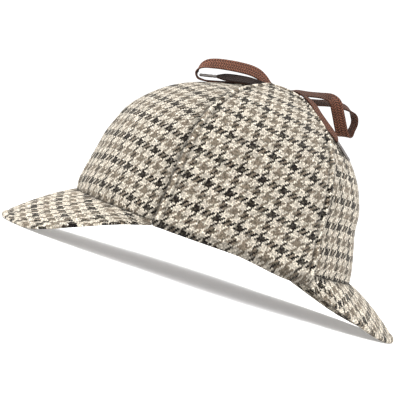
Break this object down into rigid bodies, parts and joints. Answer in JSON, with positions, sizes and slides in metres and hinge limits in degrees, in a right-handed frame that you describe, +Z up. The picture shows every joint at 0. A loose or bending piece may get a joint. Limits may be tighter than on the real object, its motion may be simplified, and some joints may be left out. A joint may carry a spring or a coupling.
{
  "type": "deerstalker hat",
  "caption": "Tweed hat with a panelled round crown, a peak at the front and at the back, and two ear flaps folded up and tied over the crown with a flat braided lace.",
  "frame": {"origin": "middle of the head opening in plan, on the surface that the peaks' rims rest on", "axes": "+Z up; +X towards the rear peak, so the front peak points to -X; the wearer's left is -Y"},
  "size_m": [0.3112, 0.1816, 0.1638],
  "materials": {
    "tweed": "woven wool, cream ground with taupe and dark brown checks, matt",
    "lace": "flat herringbone braid, rust brown, slight sheen",
    "aglet": "grey metal, satin"
  },
  "bodies": {
    "root": {"crown_front_left": "tweed", "crown_side_left": "tweed", "crown_rear_left": "tweed", "crown_rear_right": "tweed", "crown_side_right": "tweed", "crown_front_right": "tweed", "front_peak": "tweed", "rear_peak": "tweed", "ear_flap_left": "tweed", "ear_flap_right": "tweed", "lace_knot": "lace", "lace_lead_left": "lace", "lace_lead_right": "lace", "lace_loop_front": "lace", "lace_tail_front": "lace", "lace_loop_rear": "lace", "lace_tail_rear": "lace", "aglet_front": "aglet", "aglet_rear": "aglet"}
  },
  "joints": []
}
